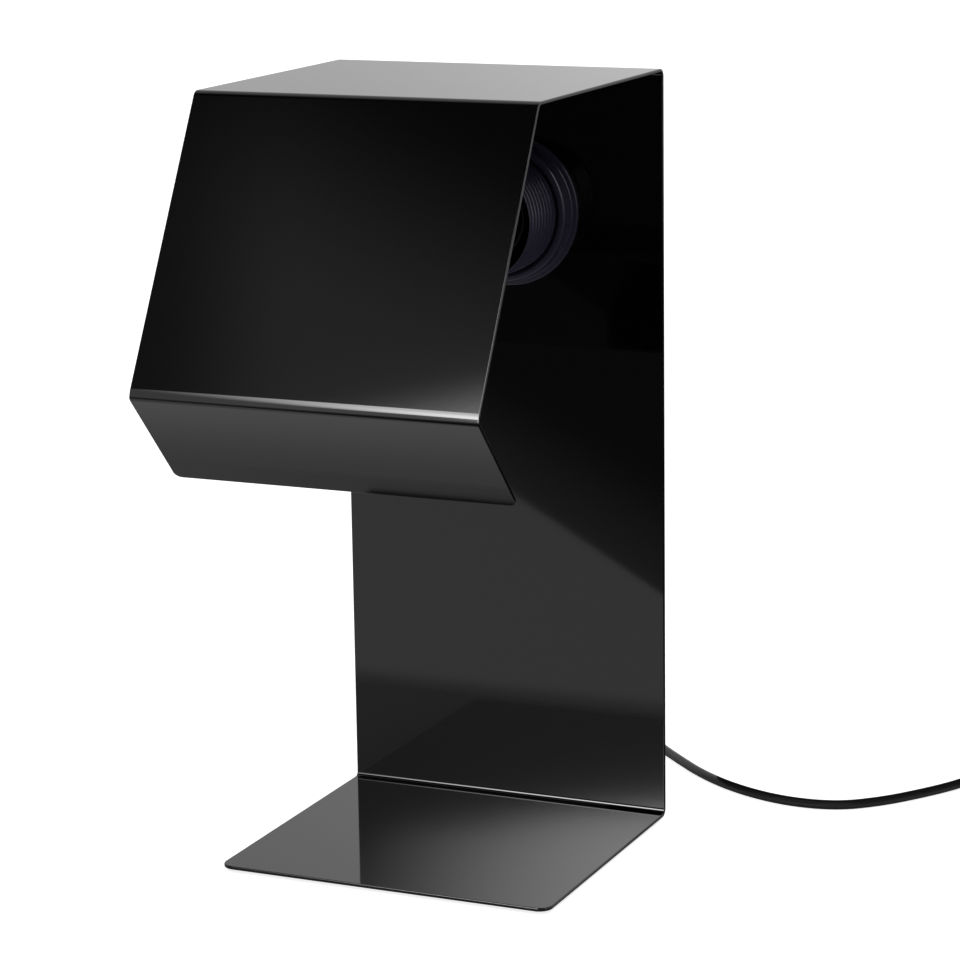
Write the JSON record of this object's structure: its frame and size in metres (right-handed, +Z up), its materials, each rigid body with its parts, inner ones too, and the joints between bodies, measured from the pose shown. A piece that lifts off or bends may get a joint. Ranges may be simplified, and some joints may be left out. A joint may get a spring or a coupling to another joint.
{
  "type": "table lamp",
  "caption": "Table lamp folded from one sheet of steel into base, back, roof and hooded front, with a lampholder through its back and a flex with an inline rocker switch and plug.",
  "frame": {"origin": "middle of the base pad's underside, on the table", "axes": "+Z up, +X the lamp's right as seen from its open front, +Y out of its back, where the flex leaves"},
  "size_m": [0.3016, 0.2487, 0.251],
  "materials": {
    "coated_steel": "gloss black powder coat on folded sheet steel, very smooth, mirrors its surroundings",
    "foam_pad": "matt closed-cell foam rubber sheet",
    "holder_plastic": "black moulded thermoplastic, semi-gloss",
    "insert_plastic": "black heat-resisting thermoplastic, matt",
    "plated_shell": "drawn and nickel-plated sheet, bright",
    "nylon_screw": "black nylon",
    "brass": "plain pressed or turned brass",
    "plated_steel": "bright zinc-plated steel",
    "soft_plastic": "black flexible PVC, satin moulding",
    "flex_sheath": "black PVC sheath, satin",
    "core_insulation": "PVC core insulation",
    "switch_plastic": "black moulded ABS, satin gloss",
    "rocker_plastic": "black moulded polycarbonate, satin",
    "plated_pins": "bright nickel-plated brass",
    "sleeve_plastic": "black moulded sleeve"
  },
  "bodies": {
    "lamp": {"body_sheet": "coated_steel", "base_pad": "foam_pad", "holder_skirt": "holder_plastic", "shade_ring": "holder_plastic", "holder_cap": "holder_plastic", "socket_insulator": "insert_plastic", "screw_shell": "plated_shell", "lock_screw": "nylon_screw", "terminal_blocks": "brass", "terminal_screws": "plated_steel", "contact_rivets": "brass", "contact_foot": "brass", "cord_grip": "soft_plastic", "flex_in_grip": "flex_sheath", "core_wires": "core_insulation", "flex_to_switch": "flex_sheath", "flex_to_coil": "flex_sheath", "flex_to_plug": "flex_sheath", "flex_coil": "flex_sheath", "switch_base": "switch_plastic", "switch_cover": "switch_plastic", "fulcrum_bracket": "brass", "fixed_contact": "brass", "case_screws": "plated_steel", "plug_body": "soft_plastic", "plug_pins": "plated_pins", "pin_sleeves": "sleeve_plastic"},
    "rocker": {"switch_rocker": "rocker_plastic", "rocker_plunger": "nylon_screw"},
    "seesaw": {"contact_seesaw": "brass"},
    "contact_tongue": {"centre_contact": "brass"}
  },
  "joints": [
    {"name": "rocker_tilt", "type": "hinge", "parent": "lamp", "child": "rocker", "pos_m": [0.19, 0.135, 0.0115], "axis": [0, 1, 0], "range_deg": [0, 20]},
    {"name": "seesaw_tilt", "type": "hinge", "parent": "lamp", "child": "seesaw", "pos_m": [0.19, 0.135, 0.0047], "axis": [0, 1, 0], "range_deg": [-10, 0]},
    {"name": "contact_press", "type": "hinge", "parent": "lamp", "child": "contact_tongue", "pos_m": [0.003, 0.0534, 0.1983], "axis": [-1, 0, 0], "range_deg": [0, 8], "stiffness_Nm_per_rad": 0.2}
  ],
  "couplings": [
    {"joint": "seesaw_tilt", "follows": "rocker_tilt", "ratio": -0.5}
  ]
}
